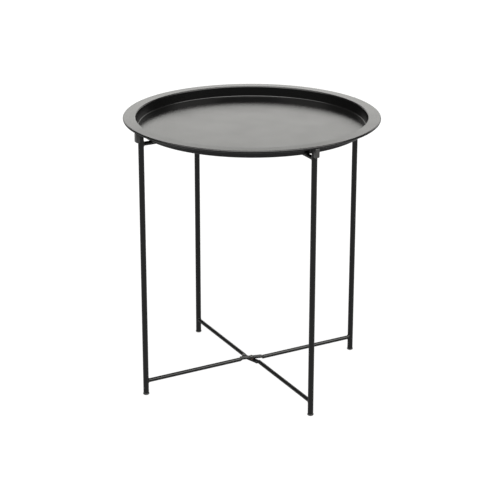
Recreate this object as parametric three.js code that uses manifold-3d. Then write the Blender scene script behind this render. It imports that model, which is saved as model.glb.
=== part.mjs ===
// Round folding side table: a pressed steel tray that lifts off two wire-and-tube frames.
// The frames cross at a right angle in use and fold together about the rivets at their middle.
// Millimetres, +Z up. The origin is on the floor under the centre of the table.
// Frame A stands along X and frame B along Y.

import * as THREE from 'three';
import { mergeVertices } from 'three/addons/utils/BufferGeometryUtils.js';
import Module from 'manifold-3d';

const wasm = await Module();
wasm.setup();

// ---------- driving dimensions ----------

const TABLE_HEIGHT = 510;
const TRAY_RADIUS = 235;
const TRAY_DEPTH = 20;
const SHEET = 0.9;
const CURL_RADIUS = 2.2;

const LEG_REACH = 223.5;
const LEG_DIAMETER = 10.3;
const LEG_WALL = 1;

const ROD_DIAMETER = 7.5;
const LOWER_ROD_HEIGHT = 27.2;
const TRAY_TO_ROD = 1.2;
const JOGGLE = 5.2;

const FOOT_HEIGHT = 3;
const FOOT_RADIUS = 6;

const RIVET_SHANK_RADIUS = 2.3;
const WASHER_THICKNESS = 0.6;

// ---------- worked-out dimensions ----------

const ROD_RADIUS = ROD_DIAMETER / 2;
const LEG_RADIUS = LEG_DIAMETER / 2;
const BORE_RADIUS = LEG_RADIUS - LEG_WALL;
const PLUG_RADIUS = BORE_RADIUS - 0.2;
const CUT_GAP = 0.3;
const SEAT_GAP = 0.1;
const TRAY_UNDERSIDE = TABLE_HEIGHT - TRAY_DEPTH;
const UPPER_ROD_HEIGHT = TRAY_UNDERSIDE - TRAY_TO_ROD - ROD_RADIUS;

// ---------- finishes ----------

const finish = (color, roughness, metalness) =>
  new THREE.MeshStandardMaterial({ color, roughness, metalness });
const powderCoat = () => finish(0x1c1d1d, 0.45, 0.2);
const blackPlastic = () => finish(0x161616, 0.55, 0);
const rivetSteel = () => finish(0x2a2a28, 0.4, 0.8);
const fibre = () => finish(0x3c2620, 0.8, 0);

// ---------- shared shape tools ----------

// Points on an arc in the (radius, height) plane, angles in degrees from the outward direction.
function arc(centre, radius, from, to, steps) {
  const points = [];
  for (let i = 0; i <= steps; i += 1) {
    const angle = THREE.MathUtils.degToRad(from + ((to - from) * i) / steps);
    points.push([centre[0] + radius * Math.cos(angle), centre[1] + radius * Math.sin(angle)]);
  }
  return points;
}

// A solid of revolution about Z. The profile runs counter-clockwise in the (radius, height) plane.
function revolve(profile, segments) {
  const points = profile.map(([radius, height]) => new THREE.Vector2(radius, height));
  return new THREE.LatheGeometry(points, segments).rotateX(Math.PI / 2);
}

// A revolved ring: the profile is closed on itself.
function revolveRing(profile, segments) {
  return revolve([...profile, profile[0]], segments);
}

function toSolid(geometry) {
  const bare = geometry.clone();
  bare.deleteAttribute('normal');
  bare.deleteAttribute('uv');
  const merged = mergeVertices(bare, 1e-4);
  return new wasm.Manifold(new wasm.Mesh({
    numProp: 3,
    vertProperties: new Float32Array(merged.attributes.position.array),
    triVerts: new Uint32Array(merged.index.array),
  }));
}

function toGeometry(solid) {
  const cut = solid.getMesh();
  const geometry = new THREE.BufferGeometry();
  geometry.setAttribute('position', new THREE.BufferAttribute(cut.vertProperties, 3));
  geometry.setIndex(new THREE.BufferAttribute(cut.triVerts, 1));
  geometry.computeVertexNormals();
  return geometry;
}

function upright(radius, bottom, top, segments) {
  const height = top - bottom;
  return new THREE.CylinderGeometry(radius, radius, height, segments)
    .rotateX(Math.PI / 2)
    .translate(0, 0, bottom + height / 2);
}

function named(name, geometry, material) {
  const mesh = new THREE.Mesh(geometry, material);
  mesh.name = name;
  return mesh;
}

// ---------- tray ----------

// One sheet pressed into a dish: flat floor, filleted and slightly sloping wall, flat flange, and
// an outer edge rolled under into an open curl.
function tray() {
  const topBend = 2.4;
  const floorFillet = 2;
  const bendAt = [213.8, TABLE_HEIGHT - topBend];
  const filletAt = [207.2, TRAY_UNDERSIDE + SHEET + floorFillet];
  const curlAt = [TRAY_RADIUS - CURL_RADIUS, TABLE_HEIGHT - CURL_RADIUS];

  // The wall is the common tangent of the two bends.
  const across = bendAt[0] - filletAt[0];
  const down = bendAt[1] - filletAt[1];
  const lean = Math.acos((topBend + floorFillet) / Math.hypot(across, down)) - Math.atan2(down, across);
  const slope = THREE.MathUtils.radToDeg(lean);

  const upperFace = [
    [0, TRAY_UNDERSIDE + SHEET],
    ...arc(filletAt, floorFillet, -90, -slope, 3),
    ...arc(bendAt, topBend, 180 - slope, 90, 3),
    ...arc(curlAt, CURL_RADIUS, 90, -180, 8),
  ];
  const underFace = [
    [0, TRAY_UNDERSIDE],
    ...arc(filletAt, floorFillet + SHEET, -90, -slope, 3),
    ...arc(bendAt, topBend - SHEET, 180 - slope, 90, 2),
    ...arc(curlAt, CURL_RADIUS - SHEET, 90, -180, 5),
  ];
  return named('tray', revolve([...underFace, ...upperFace.reverse()], 96), powderCoat());
}

// ---------- crossbars ----------

const FLAT_WIDTH = 11.4;
const FLAT_THICKNESS = ROD_RADIUS - WASHER_THICKNESS / 2 - SEAT_GAP;
const FLAT_HALF_LENGTH = 19;
const PRESS_RUN = 3;
const WELD_RADIUS = ROD_RADIUS + 0.9;
const WELD_RUN = 2.4;

// How far the rod's middle line stands off the line between the legs: straight across the flat from
// one side to the other, then straight back to the leg, with a soft bend between.
function standOff(x) {
  const along = Math.abs(x);
  const backToLeg = JOGGLE * (1 - along / LEG_REACH);
  const acrossFlat = (JOGGLE * along) / FLAT_HALF_LENGTH;
  const bend = 1.2;
  const blend = Math.max(bend - Math.abs(backToLeg - acrossFlat), 0) / bend;
  return -Math.sign(x) * (Math.min(backToLeg, acrossFlat) - (blend * blend * bend) / 4);
}

// A round rod along X, pressed flat over its middle, where it is riveted. The flat is level with
// the top of the rod. Turned over, the same rod laps under its neighbour in one plane. The halves
// stand off to opposite sides, so that two frames fold flat with their rods side by side.
function crossbar(name, height, turnedOver) {
  const half = LEG_REACH - LEG_RADIUS / 2;
  const rodEnd = LEG_REACH - LEG_RADIUS;
  const pressSteps = [-1, -0.5, 0, 0.25, 0.5, 0.75, 1, 1.5];
  const stations = [
    ...pressSteps.map((step) => [ROD_RADIUS, FLAT_HALF_LENGTH + step * PRESS_RUN]),
    [ROD_RADIUS, rodEnd - WELD_RUN],
    [ROD_RADIUS + 0.25, rodEnd - WELD_RUN / 2],
    [WELD_RADIUS, rodEnd],
    [WELD_RADIUS, half],
    [0, half],
  ];
  const mirrored = stations.map(([radius, x]) => [radius, -x]).reverse();
  const rod = revolve([...mirrored, ...stations], 16).rotateY(Math.PI / 2);

  const place = rod.attributes.position;
  for (let i = 0; i < place.count; i += 1) {
    const x = place.getX(i);
    const pastFlat = Math.abs(x) - FLAT_HALF_LENGTH;
    const pressed = 1 - THREE.MathUtils.smoothstep(pastFlat, 0, PRESS_RUN);
    const widening = THREE.MathUtils.lerp(1, FLAT_WIDTH / ROD_DIAMETER, pressed);
    const halfThick = THREE.MathUtils.lerp(WELD_RADIUS, FLAT_THICKNESS / 2, pressed);
    const lift = (ROD_RADIUS - FLAT_THICKNESS / 2) * pressed;
    place.setY(i, place.getY(i) * widening + standOff(x));
    place.setZ(i, THREE.MathUtils.clamp(place.getZ(i), -halfThick, halfThick) + lift);
  }

  let solid = toSolid(rod);
  solid = solid.subtract(toSolid(upright(RIVET_SHANK_RADIUS + 0.2, -ROD_DIAMETER, ROD_DIAMETER, 20)));
  for (const end of [-1, 1]) {
    const leg = upright(LEG_RADIUS + CUT_GAP, -LEG_DIAMETER, LEG_DIAMETER, 32);
    solid = solid.subtract(toSolid(leg.translate(end * LEG_REACH, 0, 0)));
  }
  const mesh = named(name, toGeometry(solid), powderCoat());
  mesh.position.z = height;
  mesh.rotation.x = turnedOver ? Math.PI : 0;
  return mesh;
}

// ---------- legs, feet and tray clips ----------

const CLIP_TOP = TABLE_HEIGHT - SHEET - 0.2;
const CLIP_HEAD = 1.9;
const LEG_TOP = CLIP_TOP - CLIP_HEAD - SEAT_GAP;

function leg(name) {
  const bottom = FOOT_HEIGHT + SEAT_GAP;
  const wall = [
    [BORE_RADIUS, bottom],
    [LEG_RADIUS, bottom],
    [LEG_RADIUS, LEG_TOP],
    [BORE_RADIUS, LEG_TOP],
  ];
  return named(name, revolveRing(wall, 32), powderCoat());
}

// A moulded plug with a rounded pad that keeps the tube off the floor.
function foot(name) {
  const edge = 2.6;
  const plugTop = 15;
  const profile = [
    [0, 0],
    ...arc([FOOT_RADIUS - edge, edge], edge, -90, 0, 4),
    [FOOT_RADIUS, FOOT_HEIGHT],
    [PLUG_RADIUS, FOOT_HEIGHT],
    [PLUG_RADIUS, plugTop - 0.8],
    [PLUG_RADIUS - 0.8, plugTop],
    [0, plugTop],
  ];
  return named(name, revolve(profile, 24), blackPlastic());
}

// A moulded plug in the top of the leg. Its head carries the flange of the tray, and its ear
// hangs outside the leg and holds the rolled edge from inside and from below.
function clip(name) {
  const width = 8;
  const soften = 0.6;
  const insideCurl = TRAY_RADIUS - 2 * CURL_RADIUS - LEG_REACH - 0.3;
  const outer = 10.8;
  const bottom = TABLE_HEIGHT - 21.5;
  const corner = 2.6;
  const shoulder = TABLE_HEIGHT - 2 * CURL_RADIUS - 0.3;

  const outline = new THREE.Shape();
  outline.moveTo(0, bottom);
  outline.lineTo(outer - corner, bottom);
  outline.absarc(outer - corner, bottom + corner, corner, -Math.PI / 2, 0);
  outline.lineTo(outer, shoulder);
  outline.lineTo(insideCurl, shoulder);
  outline.lineTo(insideCurl, CLIP_TOP);
  outline.lineTo(0, CLIP_TOP);
  const ear = new THREE.ExtrudeGeometry(outline, {
    depth: width - 2 * soften,
    curveSegments: 4,
    bevelThickness: soften,
    bevelSize: soften,
    bevelOffset: -soften,
    bevelSegments: 1,
  }).translate(0, 0, soften - width / 2).rotateX(Math.PI / 2);

  const headBottom = CLIP_TOP - CLIP_HEAD;
  const plugBottom = headBottom - 16;
  const plugAndHead = revolve([
    [0, plugBottom],
    [PLUG_RADIUS - 0.8, plugBottom],
    [PLUG_RADIUS, plugBottom + 0.8],
    [PLUG_RADIUS, headBottom],
    [LEG_RADIUS + 0.3, headBottom],
    [LEG_RADIUS + 0.3, CLIP_TOP - 0.5],
    [LEG_RADIUS - 0.2, CLIP_TOP],
    [0, CLIP_TOP],
  ], 24);
  const aroundLeg = upright(LEG_RADIUS + CUT_GAP, bottom - 1, headBottom, 32);
  const solid = toSolid(ear).subtract(toSolid(aroundLeg)).add(toSolid(plugAndHead));
  return named(name, toGeometry(solid), blackPlastic());
}

// ---------- a frame: two legs joined by two crossbars ----------

// The frame lies along X. ends names its legs at -X and at +X.
function frame(prefix, ends, turnedOver) {
  const group = new THREE.Group();
  group.add(crossbar(`${prefix}_lower_crossbar`, LOWER_ROD_HEIGHT, turnedOver));
  group.add(crossbar(`${prefix}_upper_crossbar`, UPPER_ROD_HEIGHT, turnedOver));
  ends.forEach((end, index) => {
    const corner = new THREE.Group();
    corner.add(leg(`${prefix}_leg_${end}`), foot(`${prefix}_foot_${end}`), clip(`${prefix}_clip_${end}`));
    corner.position.x = index === 0 ? -LEG_REACH : LEG_REACH;
    corner.rotation.z = index === 0 ? Math.PI : 0;
    group.add(corner);
  });
  return group;
}

// ---------- pivots ----------

// A solid rivet. The domed head is at +Z and the low closed head at -Z, about the rod's middle.
function rivet(name) {
  const seat = ROD_RADIUS + SEAT_GAP;
  const domeRadius = 4.2;
  const domeHeight = 2.4;
  const closedRadius = 3.7;
  const closedHeight = 0.9;
  const dome = arc([0, 0], 1, 0, 90, 4)
    .map(([across, up]) => [domeRadius * across, seat + 0.3 + (domeHeight - 0.3) * up]);
  const profile = [
    [0, -seat - closedHeight],
    [closedRadius - 0.4, -seat - closedHeight],
    [closedRadius, -seat - closedHeight + 0.4],
    [closedRadius, -seat],
    [RIVET_SHANK_RADIUS, -seat],
    [RIVET_SHANK_RADIUS, seat],
    [domeRadius, seat],
    ...dome.slice(0, -1),
    [0, seat + domeHeight],
  ];
  return named(name, revolve(profile, 24), rivetSteel());
}

function washer(name) {
  const outer = 5.7;
  const inner = RIVET_SHANK_RADIUS + 0.2;
  const half = WASHER_THICKNESS / 2;
  const profile = [[inner, -half], [outer, -half], [outer, half], [inner, half]];
  return named(name, revolveRing(profile, 24), fibre());
}

// ---------- the table ----------

const table = new THREE.Group();
table.add(tray());
table.add(frame('frame_a', ['left', 'right'], false));

const frameB = frame('frame_b', ['front', 'back'], true);
frameB.rotation.z = Math.PI / 2;
table.add(frameB);

// The upper rivet is set the other way up, so that its low head clears the tray.
const lowerRivet = rivet('lower_rivet');
lowerRivet.position.z = LOWER_ROD_HEIGHT;
const upperRivet = rivet('upper_rivet');
upperRivet.position.z = UPPER_ROD_HEIGHT;
upperRivet.rotation.x = Math.PI;
const lowerWasher = washer('lower_washer');
lowerWasher.position.z = LOWER_ROD_HEIGHT;
const upperWasher = washer('upper_washer');
upperWasher.position.z = UPPER_ROD_HEIGHT;
table.add(lowerRivet, upperRivet, lowerWasher, upperWasher);

export default table;
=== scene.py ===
"""Round folding side table in black powder-coated steel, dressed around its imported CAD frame.

Metres, +Z up. Frame A stands along X and frame B along Y, and the tray lies on both.
"""

import math

import bmesh
import bpy
from mathutils import Matrix, Vector


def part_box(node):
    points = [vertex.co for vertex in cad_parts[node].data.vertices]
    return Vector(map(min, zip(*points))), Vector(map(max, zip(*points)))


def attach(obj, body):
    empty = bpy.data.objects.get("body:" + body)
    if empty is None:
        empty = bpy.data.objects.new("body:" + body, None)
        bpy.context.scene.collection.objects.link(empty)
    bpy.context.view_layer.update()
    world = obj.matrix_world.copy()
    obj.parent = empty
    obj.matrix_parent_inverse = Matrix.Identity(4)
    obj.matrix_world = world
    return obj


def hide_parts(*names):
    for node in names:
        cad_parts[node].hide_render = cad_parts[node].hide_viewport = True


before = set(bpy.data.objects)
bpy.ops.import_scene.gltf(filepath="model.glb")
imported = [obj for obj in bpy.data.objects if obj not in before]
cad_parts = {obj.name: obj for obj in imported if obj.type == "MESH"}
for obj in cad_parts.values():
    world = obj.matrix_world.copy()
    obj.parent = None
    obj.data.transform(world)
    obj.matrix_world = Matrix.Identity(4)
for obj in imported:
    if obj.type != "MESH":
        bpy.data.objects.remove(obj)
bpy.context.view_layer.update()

MM = 0.001


# ---------- sizes read from the frame ----------

tray_low, tray_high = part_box("tray")
TRAY_RADIUS = tray_high.x
RIM_TOP = tray_high.z
TRAY_UNDERSIDE = tray_low.z

leg_low, leg_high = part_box("frame_a_leg_right")
LEG_RADIUS = (leg_high.x - leg_low.x) / 2
LEG_REACH = (leg_high.x + leg_low.x) / 2
LEG_BOTTOM = leg_low.z
LEG_TOP = leg_high.z

foot_low, foot_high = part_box("frame_a_foot_right")
FOOT_RADIUS = (foot_high.x - foot_low.x) / 2

clip_low, clip_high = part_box("frame_a_clip_right")
CLIP_OUTER = clip_high.x - LEG_REACH
CLIP_TOP = clip_high.z
CLIP_BOTTOM = clip_low.z


def middle_height(node):
    low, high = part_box(node)
    return (low.z + high.z) / 2


LOWER_ROD_HEIGHT = middle_height("lower_washer")
UPPER_ROD_HEIGHT = middle_height("upper_washer")


# ---------- sizes that the boxes don't give ----------

SHEET = 0.9 * MM
CURL_RADIUS = 2.2 * MM
LEG_WALL = 1.0 * MM
ROD_RADIUS = 3.75 * MM
JOGGLE = 5.2 * MM
FLAT_THICKNESS = 3.35 * MM
FLAT_HALF_LENGTH = 19 * MM
PRESS_RUN = 3 * MM

# 0.2 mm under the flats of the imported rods, so that these finer shoulders still clear each other
# where the fold stops.
FLAT_WIDTH = 11.2 * MM


# ---------- shape tools ----------

def arc(centre, radius, start, end, steps):
    """Points on an arc in the (radius, height) plane, angles in degrees from the outward direction."""
    points = []
    for i in range(steps + 1):
        angle = math.radians(start + (end - start) * i / steps)
        points.append((centre[0] + radius * math.cos(angle), centre[1] + radius * math.sin(angle)))
    return points


def spun(profile, steps, closed=False):
    """A bmesh turned about Z from a profile of (radius, height) points."""
    bm = bmesh.new()
    verts = [bm.verts.new((radius, 0, height)) for radius, height in profile]
    pairs = list(zip(verts, verts[1:]))
    if closed:
        pairs.append((verts[-1], verts[0]))
    edges = [bm.edges.new(pair) for pair in pairs]
    bmesh.ops.spin(bm, geom=verts + edges, cent=(0, 0, 0), axis=(0, 0, 1), dvec=(0, 0, 0),
                   angle=math.tau, steps=steps, use_merge=True, use_duplicate=False)
    bmesh.ops.remove_doubles(bm, verts=bm.verts[:], dist=1e-6)
    bmesh.ops.recalc_face_normals(bm, faces=bm.faces[:])
    return bm


def moved(bm, matrix):
    bmesh.ops.transform(bm, matrix=matrix, verts=bm.verts[:])
    return bm


def piece(bm, name, body, material, replaced=(), sharp=38):
    """Makes a bmesh into a shown piece that rides on a body and takes a finish. Edges that turn by
    more than sharp degrees stay crisp."""
    mesh = bpy.data.meshes.new(name)
    bm.to_mesh(mesh)
    bm.free()
    for polygon in mesh.polygons:
        polygon.use_smooth = True
    mesh.set_sharp_from_angle(angle=math.radians(sharp))
    mesh.materials.append(material)
    made = bpy.data.objects.new(name, mesh)
    bpy.context.scene.collection.objects.link(made)
    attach(made, body)
    if replaced:
        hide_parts(*replaced)
    return made


# ---------- material tools ----------

def linear(hexcode):
    """An sRGB hex colour as linear RGBA."""
    channels = [int(hexcode[i:i + 2], 16) / 255 for i in (1, 3, 5)]
    turned = [c / 12.92 if c <= 0.04045 else ((c + 0.055) / 1.055) ** 2.4 for c in channels]
    return (*turned, 1.0)


def add_node(tree, kind, settings=None, values=None, links=None):
    """Adds a node, sets its properties and input values, and links its inputs from other outputs."""
    made = tree.nodes.new(kind)
    for key, value in (settings or {}).items():
        setattr(made, key, value)
    for key, value in (values or {}).items():
        made.inputs[key].default_value = value
    for key, source in (links or {}).items():
        tree.links.new(source, made.inputs[key])
    return made


def new_material(name):
    material = bpy.data.materials.new(name)
    material.use_nodes = True
    material.node_tree.nodes.clear()
    return material, material.node_tree


# ---------- materials ----------

def powder_coated_steel():
    """Mild steel under a black polyester powder coat, matted. Its skin is smooth with a faint orange
    peel some 2.5 mm across and a fine grit. The matting agent leaves only part of it glossy, and
    the gloss drifts slightly."""
    material, tree = new_material("powder_coated_steel_matt_black")
    glossy_part = 0.4
    where = add_node(tree, "ShaderNodeTexCoord").outputs["Object"]
    peel = add_node(tree, "ShaderNodeTexNoise",
                    values={"Scale": 1 / (2.5 * MM), "Detail": 2.0, "Roughness": 0.5},
                    links={"Vector": where})
    grit = add_node(tree, "ShaderNodeTexNoise", values={"Scale": 1 / (0.5 * MM), "Detail": 1.0},
                    links={"Vector": where})
    drift = add_node(tree, "ShaderNodeTexNoise", values={"Scale": 1 / (60 * MM), "Detail": 3.0},
                     links={"Vector": where})
    gloss = add_node(tree, "ShaderNodeMapRange",
                     values={"From Min": 0.3, "From Max": 0.7, "To Min": 0.21, "To Max": 0.24},
                     links={"Value": drift.outputs["Fac"]})
    tone = add_node(tree, "ShaderNodeMix", {"data_type": "RGBA"},
                    {"A": linear("#030303"), "B": linear("#060606")}, {"Factor": grit.outputs["Fac"]})
    soft = add_node(tree, "ShaderNodeBump", values={"Strength": 0.25, "Distance": 0.03 * MM},
                    links={"Height": peel.outputs["Fac"]})
    fine = add_node(tree, "ShaderNodeBump", values={"Strength": 0.2, "Distance": 0.01 * MM},
                    links={"Height": grit.outputs["Fac"], "Normal": soft.outputs["Normal"]})
    glossy = add_node(tree, "ShaderNodeBsdfPrincipled", values={"IOR": 1.5},
                      links={"Base Color": tone.outputs["Result"], "Roughness": gloss.outputs["Result"],
                             "Normal": fine.outputs["Normal"]})
    matt = add_node(tree, "ShaderNodeBsdfDiffuse", values={"Roughness": 0.6},
                    links={"Color": tone.outputs["Result"], "Normal": fine.outputs["Normal"]})
    skin = add_node(tree, "ShaderNodeMixShader", values={0: glossy_part},
                    links={1: matt.outputs["BSDF"], 2: glossy.outputs["BSDF"]})
    add_node(tree, "ShaderNodeOutputMaterial", links={"Surface": skin.outputs["Shader"]})
    return material


def moulded_plastic(name, dark, light, roughness):
    """Injection-moulded plastic from a spark-eroded tool: an even, fine, dull grain with no peel."""
    material, tree = new_material(name)
    spread = 0.06
    where = add_node(tree, "ShaderNodeTexCoord").outputs["Object"]
    grain = add_node(tree, "ShaderNodeTexNoise", values={"Scale": 1 / (0.35 * MM), "Detail": 2.0},
                     links={"Vector": where})
    cloud = add_node(tree, "ShaderNodeTexNoise", values={"Scale": 1 / (6 * MM), "Detail": 2.0},
                     links={"Vector": where})
    tone = add_node(tree, "ShaderNodeMix", {"data_type": "RGBA"},
                    {"A": linear(dark), "B": linear(light)}, {"Factor": cloud.outputs["Fac"]})
    gloss = add_node(tree, "ShaderNodeMapRange",
                     values={"To Min": roughness - spread, "To Max": roughness + spread},
                     links={"Value": grain.outputs["Fac"]})
    rough = add_node(tree, "ShaderNodeBump", values={"Strength": 0.35, "Distance": 0.02 * MM},
                     links={"Height": grain.outputs["Fac"]})
    shader = add_node(tree, "ShaderNodeBsdfPrincipled", values={"IOR": 1.5},
                      links={"Base Color": tone.outputs["Result"], "Roughness": gloss.outputs["Result"],
                             "Normal": rough.outputs["Normal"]})
    add_node(tree, "ShaderNodeOutputMaterial", links={"Surface": shader.outputs["BSDF"]})
    return material


def oxidised_rivet_steel():
    """Cold-formed low-carbon steel with a dark oxide: faint turning rings and a patchy, greyish
    gloss."""
    material, tree = new_material("oxidised_rivet_steel")
    where = add_node(tree, "ShaderNodeTexCoord").outputs["Object"]
    patch = add_node(tree, "ShaderNodeTexNoise", values={"Scale": 1 / (1.6 * MM), "Detail": 4.0},
                     links={"Vector": where})
    tone = add_node(tree, "ShaderNodeMix", {"data_type": "RGBA"},
                    {"A": linear("#2a2b2a"), "B": linear("#4a4946")}, {"Factor": patch.outputs["Fac"]})
    gloss = add_node(tree, "ShaderNodeMapRange", values={"To Min": 0.3, "To Max": 0.5},
                     links={"Value": patch.outputs["Fac"]})
    rings = add_node(tree, "ShaderNodeTexWave", {"wave_type": "RINGS", "rings_direction": "Z"},
                     {"Scale": 1 / (3 * MM), "Distortion": 0.6}, {"Vector": where})
    turned = add_node(tree, "ShaderNodeBump", values={"Strength": 0.15, "Distance": 0.01 * MM},
                      links={"Height": rings.outputs["Fac"]})
    shader = add_node(tree, "ShaderNodeBsdfPrincipled", values={"Metallic": 0.85},
                      links={"Base Color": tone.outputs["Result"], "Roughness": gloss.outputs["Result"],
                             "Normal": turned.outputs["Normal"]})
    add_node(tree, "ShaderNodeOutputMaterial", links={"Surface": shader.outputs["BSDF"]})
    return material


def vulcanised_fibre():
    """Punched sheet of brown vulcanised fibre: pressed cotton paper, dull, with a flecked grain."""
    material, tree = new_material("vulcanised_fibre_brown")
    where = add_node(tree, "ShaderNodeTexCoord").outputs["Object"]
    fleck = add_node(tree, "ShaderNodeTexNoise", values={"Scale": 1 / (0.4 * MM), "Detail": 3.0},
                     links={"Vector": where})
    tone = add_node(tree, "ShaderNodeMix", {"data_type": "RGBA"},
                    {"A": linear("#271d18"), "B": linear("#45352c")}, {"Factor": fleck.outputs["Fac"]})
    fuzz = add_node(tree, "ShaderNodeBump", values={"Strength": 0.4, "Distance": 0.02 * MM},
                    links={"Height": fleck.outputs["Fac"]})
    shader = add_node(tree, "ShaderNodeBsdfPrincipled", values={"Roughness": 0.75, "IOR": 1.5},
                      links={"Base Color": tone.outputs["Result"], "Normal": fuzz.outputs["Normal"]})
    add_node(tree, "ShaderNodeOutputMaterial", links={"Surface": shader.outputs["BSDF"]})
    return material


def opal_acrylic(glow):
    """The matt opal acrylic of a product table, lit evenly from below."""
    material, tree = new_material("opal_acrylic_lit_from_below")
    shader = add_node(tree, "ShaderNodeBsdfPrincipled",
                      values={"Base Color": linear("#2c2c2c"), "Roughness": 0.9,
                              "Specular IOR Level": 0.1,
                              "Emission Color": (1, 1, 1, 1), "Emission Strength": glow})
    add_node(tree, "ShaderNodeOutputMaterial", links={"Surface": shader.outputs["BSDF"]})
    return material


COAT = powder_coated_steel()
FOOT_PLASTIC = moulded_plastic("moulded_polyethylene_black", "#0b0b0b", "#121212", 0.45)
CLIP_PLASTIC = moulded_plastic("moulded_nylon_black", "#121212", "#1a1a1a", 0.42)
RIVET_STEEL = oxidised_rivet_steel()
FIBRE = vulcanised_fibre()


# ---------- tray ----------

def held_flat(bends):
    """Joins the bends of a profile, with a point on each straight run just after one bend and just
    before the next, so that the smooth shading of the bends stops there."""
    margin = 0.3 * MM
    joined = []
    for bend in bends:
        if joined:
            start, end = Vector(joined[-1]), Vector(bend[0])
            inset = (end - start).normalized() * margin
            joined += [tuple(start + inset), tuple(end - inset)]
        joined += bend
    return joined


def tray():
    """One pressed sheet: flat floor, filleted sloping wall, flange and an open curl at the edge. The
    flange falls a touch toward the curl, as the roller leaves it."""
    top_bend = 2.4 * MM
    floor_fillet = 2 * MM
    fall = 0.3 * MM
    edge_to_bend = 21.2 * MM
    edge_to_fillet = 27.8 * MM
    bend_at = (TRAY_RADIUS - edge_to_bend, RIM_TOP - top_bend)
    fillet_at = (TRAY_RADIUS - edge_to_fillet, TRAY_UNDERSIDE + SHEET + floor_fillet)
    curl_at = (TRAY_RADIUS - CURL_RADIUS, RIM_TOP - fall - CURL_RADIUS)

    # The wall is the line that touches the bend and the fillet on opposite sides.
    across = bend_at[0] - fillet_at[0]
    rise = bend_at[1] - fillet_at[1]
    lean = math.acos((top_bend + floor_fillet) / math.hypot(across, rise)) - math.atan2(rise, across)
    slope = math.degrees(lean)
    flange_slope = math.degrees(math.atan2(fall, curl_at[0] - bend_at[0]))

    upper = held_flat([[(0, TRAY_UNDERSIDE + SHEET)],
                       arc(fillet_at, floor_fillet, -90, -slope, 10),
                       arc(bend_at, top_bend, 180 - slope, 90 - flange_slope, 10),
                       arc(curl_at, CURL_RADIUS, 90 - flange_slope, -180, 24)])
    under = held_flat([[(0, TRAY_UNDERSIDE)],
                       arc(fillet_at, floor_fillet + SHEET, -90, -slope, 10),
                       arc(bend_at, top_bend - SHEET, 180 - slope, 90 - flange_slope, 6),
                       arc(curl_at, CURL_RADIUS - SHEET, 90 - flange_slope, -180, 14)])
    piece(spun(under + upper[::-1], 288), "pressed_tray", "tray", COAT, ["tray"])


# ---------- frames ----------

def leg_tube(name, body, spot, node):
    """A round tube with its ends faced and the edges just broken."""
    bore = LEG_RADIUS - LEG_WALL
    broken = 0.2 * MM
    wall = [(bore, LEG_BOTTOM), (LEG_RADIUS - broken, LEG_BOTTOM), (LEG_RADIUS, LEG_BOTTOM + broken),
            (LEG_RADIUS, LEG_TOP - broken), (LEG_RADIUS - broken, LEG_TOP), (bore, LEG_TOP)]
    piece(moved(spun(wall, 64, closed=True), spot), name, body, COAT, [node])


def foot_plug(name, body, spot, node):
    """A moulded plug with a rounded pad under the tube."""
    pad_edge = 2.6 * MM
    shoulder = 0.35 * MM
    plug_length = 10 * MM
    pad_top = LEG_BOTTOM - 0.1 * MM
    plug_radius = LEG_RADIUS - LEG_WALL - 0.2 * MM
    profile = [(0, 0)]
    profile += arc((FOOT_RADIUS - pad_edge, pad_edge), pad_edge, -90, 0, 10)
    profile += arc((FOOT_RADIUS - shoulder, pad_top - shoulder), shoulder, 0, 90, 4)
    profile += [(plug_radius, pad_top), (plug_radius, pad_top + plug_length), (0, pad_top + plug_length)]
    piece(moved(spun(profile, 48), spot), name, body, FOOT_PLASTIC, [node])


def tray_clip(name, body, spot, node):
    """A moulded plug whose head carries the flange and whose ear hangs outside the leg."""
    width = 8 * MM
    corner = 2.6 * MM
    clearance = 0.3 * MM
    edge_bevel = 0.6 * MM
    square_enough = math.radians(60)
    shoulder = RIM_TOP - 2 * CURL_RADIUS - clearance
    inside_curl = TRAY_RADIUS - 2 * CURL_RADIUS - LEG_REACH - clearance
    outline = [(0, CLIP_BOTTOM)]
    outline += arc((CLIP_OUTER - corner, CLIP_BOTTOM + corner), corner, -90, 0, 8)
    outline += [(CLIP_OUTER, shoulder), (inside_curl, shoulder), (inside_curl, CLIP_TOP), (0, CLIP_TOP)]

    bm = bmesh.new()
    side = bm.faces.new([bm.verts.new((x, -width / 2, z)) for x, z in outline])
    grown = bmesh.ops.extrude_face_region(bm, geom=[side])
    far = [item for item in grown["geom"] if isinstance(item, bmesh.types.BMVert)]
    bmesh.ops.translate(bm, verts=far, vec=(0, width, 0))
    bmesh.ops.recalc_face_normals(bm, faces=bm.faces[:])
    rims = [edge for edge in bm.edges
            if len(edge.link_faces) == 2 and edge.calc_face_angle() > square_enough]
    bmesh.ops.bevel(bm, geom=rims, offset=edge_bevel, affect="EDGES", segments=3, profile=0.5,
                    material=-1)

    head_radius = LEG_RADIUS + 0.3 * MM
    rounding = 0.5 * MM
    head = [(0, LEG_TOP), (head_radius, LEG_TOP)]
    head += arc((head_radius - rounding, CLIP_TOP - rounding), rounding, 0, 90, 4)
    head.append((0, CLIP_TOP))
    disc = spun(head, 48)
    disc_mesh = bpy.data.meshes.new("clip_head")
    disc.to_mesh(disc_mesh)
    disc.free()
    bm.from_mesh(disc_mesh)
    bpy.data.meshes.remove(disc_mesh)
    piece(moved(bm, spot), name, body, CLIP_PLASTIC, [node])


def stand_off(x):
    """How far the rod's middle line stands off the line between the legs: straight across the flat
    from one side to the other, then straight back to the leg, with a soft bend between."""
    back_to_leg = JOGGLE * (1 - abs(x) / LEG_REACH)
    across_flat = JOGGLE * abs(x) / FLAT_HALF_LENGTH
    bend = 1.2 * MM
    blend = max(bend - abs(back_to_leg - across_flat), 0) / bend
    return -math.copysign(min(back_to_leg, across_flat) - blend * blend * bend / 4, x)


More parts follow.
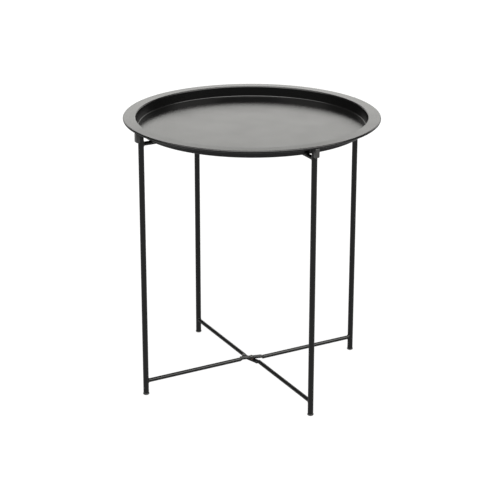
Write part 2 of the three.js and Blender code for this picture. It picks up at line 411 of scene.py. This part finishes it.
def pressed_rod(name, body, turn, height, turned_over, node):
    """A round rod along the frame, its middle pressed flat between plates, level with its top, and
    its halves set off to opposite sides. Turned over, it laps under its neighbour."""
    steps = 12
    into_leg = 0.6 * MM
    end = LEG_REACH - LEG_RADIUS + into_leg
    flat = [FLAT_HALF_LENGTH * step / steps for step in range(steps)]
    run = [FLAT_HALF_LENGTH + PRESS_RUN * step / steps for step in range(steps + 1)]
    round_again = [FLAT_HALF_LENGTH + PRESS_RUN * part for part in (1.2, 1.5)]
    half = [(ROD_RADIUS, x) for x in flat + run + round_again] + [(ROD_RADIUS, end), (0, end)]
    profile = [(radius, -x) for radius, x in half[:0:-1]] + half
    bm = spun(profile, 48)
    moved(bm, Matrix.Rotation(math.pi / 2, 4, "Y"))
    for vert in bm.verts:
        away = (abs(vert.co.x) - FLAT_HALF_LENGTH) / PRESS_RUN
        away = min(max(away, 0), 1)
        pressed = 1 - away * away * (3 - 2 * away)
        half_thick = ROD_RADIUS + (FLAT_THICKNESS / 2 - ROD_RADIUS) * pressed
        vert.co.y *= 1 + (FLAT_WIDTH / 2 / ROD_RADIUS - 1) * pressed
        vert.co.y += stand_off(vert.co.x)
        vert.co.z = min(max(vert.co.z, -half_thick), half_thick)
        vert.co.z += (ROD_RADIUS - FLAT_THICKNESS / 2) * pressed
    if turned_over:
        moved(bm, Matrix.Rotation(math.pi, 4, "X"))
    moved(bm, turn @ Matrix.Translation((0, 0, height)))
    piece(bm, name, body, COAT, [node], sharp=50)


def weld_bead(name, body, turn, height, end):
    """A small fillet weld all round the rod where it meets the leg, with the ripple of its passes."""
    bead = 1.0 * MM
    off_rod = 0.35 * MM
    into_leg = 0.15 * MM
    ripples, ripple = 13, 0.07
    lumps, lump = 5, 0.04
    across_rod = 0.4
    section = arc((ROD_RADIUS + off_rod, 0), bead, 0, 324, 9)
    bm = spun(section, 60, closed=True)
    for vert in bm.verts:
        round_rod = math.atan2(vert.co.y, vert.co.x)
        swell = 1 + ripple * math.sin(round_rod * ripples) + lump * math.sin(round_rod * lumps + 1)
        vert.co.z *= swell
        vert.co.xy *= 1 + (swell - 1) * across_rod
    moved(bm, Matrix.Rotation(end * math.pi / 2, 4, "Y"))
    for vert in bm.verts:
        inset = math.sqrt(max(LEG_RADIUS ** 2 - vert.co.y ** 2, 0))
        vert.co.x += end * (LEG_REACH - inset - into_leg)
    moved(bm, turn @ Matrix.Translation((0, 0, height)))
    piece(bm, name, body, COAT)


def frame_set(prefix, ends, turned, turned_over):
    """One frame: two rods with their welds, and a leg, a foot and a clip at each end."""
    turn = Matrix.Rotation(turned, 4, "Z")
    for level, height in (("lower", LOWER_ROD_HEIGHT), ("upper", UPPER_ROD_HEIGHT)):
        node = f"{prefix}_{level}_crossbar"
        pressed_rod(f"{node}_rod", prefix, turn, height, turned_over, node)
        for end, word in zip((-1, 1), ends):
            weld_bead(f"{prefix}_{level}_weld_{word}", prefix, turn, height, end)
    for end, word in zip((-1, 1), ends):
        outward = Matrix.Rotation(math.pi if end < 0 else 0, 4, "Z")
        spot = turn @ Matrix.Translation((end * LEG_REACH, 0, 0)) @ outward
        leg_tube(f"{prefix}_tube_{word}", prefix, spot, f"{prefix}_leg_{word}")
        foot_plug(f"{prefix}_foot_plug_{word}", prefix, spot, f"{prefix}_foot_{word}")
        tray_clip(f"{prefix}_tray_clip_{word}", prefix, spot, f"{prefix}_clip_{word}")


# ---------- pivots ----------

def domed_rivet(level, height, turned_over):
    """The rivet through the two flats, with its domed head and its closed end."""
    low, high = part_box(f"{level}_rivet")
    dome_radius = (high.x - low.x) / 2
    dome_height = 2.4 * MM
    dome_edge = 0.25 * MM
    seat = ROD_RADIUS + 0.1 * MM
    closed_radius = 3.7 * MM
    closed_height = 0.9 * MM
    rounding = 0.4 * MM
    shank = 2.3 * MM
    bottom = -seat - closed_height
    profile = [(0, bottom), (closed_radius - rounding, bottom)]
    profile += arc((closed_radius - rounding, bottom + rounding), rounding, -90, 0, 5)[1:]
    profile += [(closed_radius, -seat), (shank, -seat), (shank, seat), (dome_radius, seat)]
    profile += [(dome_radius * across, seat + dome_edge + (dome_height - dome_edge) * up)
                for across, up in arc((0, 0), 1, 0, 90, 14)[:-1]]
    profile.append((0, seat + dome_height))
    bm = spun(profile, 48)
    if turned_over:
        moved(bm, Matrix.Rotation(math.pi, 4, "X"))
    moved(bm, Matrix.Translation((0, 0, height)))
    piece(bm, f"{level}_domed_rivet", "frame_a", RIVET_STEEL, [f"{level}_rivet"])


def fibre_washer(level):
    """The flat ring between the two flats."""
    low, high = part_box(f"{level}_washer")
    outer = (high.x - low.x) / 2
    hole = 2.5 * MM
    ring = [(hole, low.z), (outer, low.z), (outer, high.z), (hole, high.z)]
    piece(spun(ring, 48, closed=True), f"{level}_fibre_washer", "frame_a", FIBRE,
          [f"{level}_washer"])


# ---------- studio ----------

VIEW_TURN = math.radians(28.7)
CAMERA_BACK = 2.914
CAMERA_SIDE = -0.0030
CAMERA_HEIGHT = 1.297
CAMERA_TILT = math.radians(19.8)
CAMERA_ROLL = math.radians(0.12)
LENS = 118.8
SENSOR_WIDTH = 36

FLOOR_GLOW = 0.93
FLOOR_HALF_WIDTH = 15

LIGHT_COLOUR = (1, 0.995, 0.965, 1)
BACKDROP = 1.05
ROOM = 0.25
OVERHEAD = 1.2
BACK_BANK = 4.55
BANK_TURN = math.radians(8)

# Each soft box has a turn from the front to the right, a height above the horizon and a radiance.
BOXES = [(math.radians(-60), math.radians(42), 7.0),
         (math.radians(68), math.radians(43), 9.0),
         (0, math.radians(66), 14.0)]

# Heights at which a light fades in or out, as sines of the angle above the horizon.
BANK_FOOT = (0.05, 0.17)
BANK_TOP = (0.3, 0.43)
BOX_FOOT = (0.27, 0.4)
OVERHEAD_FOOT = (0.6, 0.85)

# Where a box fades out round its middle, as cosines of the angle from it.
BOX_EDGE = (0.85, 0.95)

# Where the bank ends toward the front, as sines of the angle behind the table, and at its sides,
# as squared sines of the angle from its middle.
BANK_FRONT = (0, 0.2)
BANK_SIDES = (0.3, 0.6)


def camera():
    data = bpy.data.cameras.new("camera")
    data.lens = LENS
    data.sensor_width = SENSOR_WIDTH
    made = bpy.data.objects.new("camera", data)
    bpy.context.scene.collection.objects.link(made)
    facing = Matrix.Rotation(-VIEW_TURN, 4, "Z")
    tilted = Matrix.Rotation(math.pi / 2 - CAMERA_TILT, 4, "X")
    rolled = Matrix.Rotation(CAMERA_ROLL, 4, "Z")
    made.location = facing @ Vector((CAMERA_SIDE, -CAMERA_BACK, CAMERA_HEIGHT))
    made.rotation_euler = (facing @ tilted @ rolled).to_euler()
    bpy.context.scene.camera = made


def floor():
    bm = bmesh.new()
    bmesh.ops.create_grid(bm, x_segments=1, y_segments=1, size=FLOOR_HALF_WIDTH)
    mesh = bpy.data.meshes.new("floor")
    bm.to_mesh(mesh)
    bm.free()
    mesh.materials.append(opal_acrylic(FLOOR_GLOW))
    made = bpy.data.objects.new("floor", mesh)
    bpy.context.scene.collection.objects.link(made)


def surround():
    """The studio around the table: a wide bank of light low down behind it, turned a little to the
    right, soft boxes to the left, to the right and high in front, a soft light overhead and a dim
    room. The camera itself sees a white backdrop."""
    world = bpy.data.worlds.new("studio")
    bpy.context.scene.world = world
    world.use_nodes = True
    tree = world.node_tree
    tree.nodes.clear()
    facing = Matrix.Rotation(-VIEW_TURN, 3, "Z")
    where = add_node(tree, "ShaderNodeTexCoord").outputs["Generated"]

    def toward(direction):
        """How far a ray points along a direction, from -1 to 1."""
        found = add_node(tree, "ShaderNodeVectorMath", {"operation": "DOT_PRODUCT"}, links={0: where})
        found.inputs[1].default_value = direction
        return found.outputs["Value"]

    def fade(value, band, before, after):
        """Goes smoothly from one level to another while the value crosses the band."""
        return add_node(tree, "ShaderNodeMapRange", {"interpolation_type": "SMOOTHSTEP"},
                        {"From Min": band[0], "From Max": band[1], "To Min": before, "To Max": after},
                        {"Value": value}).outputs["Result"]

    def combined(operation, first, second):
        return add_node(tree, "ShaderNodeMath", {"operation": operation},
                        links={0: first, 1: second}).outputs["Value"]

    up = toward(Vector((0, 0, 1)))

    def back_bank():
        """A low band of light over the half behind the table, faded out toward its two ends."""
        behind = toward(facing @ Vector((0, 1, 0)))
        aside = toward(facing @ Vector((math.cos(BANK_TURN), -math.sin(BANK_TURN), 0)))
        band = combined("MULTIPLY", fade(up, BANK_FOOT, 0, 1), fade(up, BANK_TOP, BACK_BANK, 0))
        band = combined("MULTIPLY", band, fade(behind, BANK_FRONT, 0, 1))
        return combined("MULTIPLY", band, fade(combined("MULTIPLY", aside, aside), BANK_SIDES, 1, 0))

    def soft_box(turn, height, radiance):
        """A round box of light that fades out at its edge and is cut off below."""
        ahead = Vector((math.sin(turn), -math.cos(turn), math.tan(height))).normalized()
        round_box = fade(toward(facing @ ahead), BOX_EDGE, 0, radiance)
        return combined("MULTIPLY", round_box, fade(up, BOX_FOOT, 0, 1))

    level = combined("ADD", back_bank(), fade(up, OVERHEAD_FOOT, ROOM, OVERHEAD))
    for turn, height, radiance in BOXES:
        level = combined("ADD", level, soft_box(turn, height, radiance))
    light = add_node(tree, "ShaderNodeBackground", values={"Color": LIGHT_COLOUR},
                     links={"Strength": level})
    white = add_node(tree, "ShaderNodeBackground", values={"Color": (1, 1, 1, 1), "Strength": BACKDROP})
    direct = add_node(tree, "ShaderNodeLightPath").outputs["Is Camera Ray"]
    seen = add_node(tree, "ShaderNodeMixShader",
                    links={0: direct, 1: light.outputs["Background"], 2: white.outputs["Background"]})
    add_node(tree, "ShaderNodeOutputWorld", links={"Surface": seen.outputs["Shader"]})


# ---------- the whole table in its studio ----------

bpy.context.scene.view_settings.view_transform = "Standard"
tray()
frame_set("frame_a", ("left", "right"), 0, False)
frame_set("frame_b", ("front", "back"), math.pi / 2, True)
for level, height, turned_over in (("lower", LOWER_ROD_HEIGHT, False), ("upper", UPPER_ROD_HEIGHT, True)):
    domed_rivet(level, height, turned_over)
    fibre_washer(level)
floor()
surround()
camera()

bpy.context.view_layer.update()
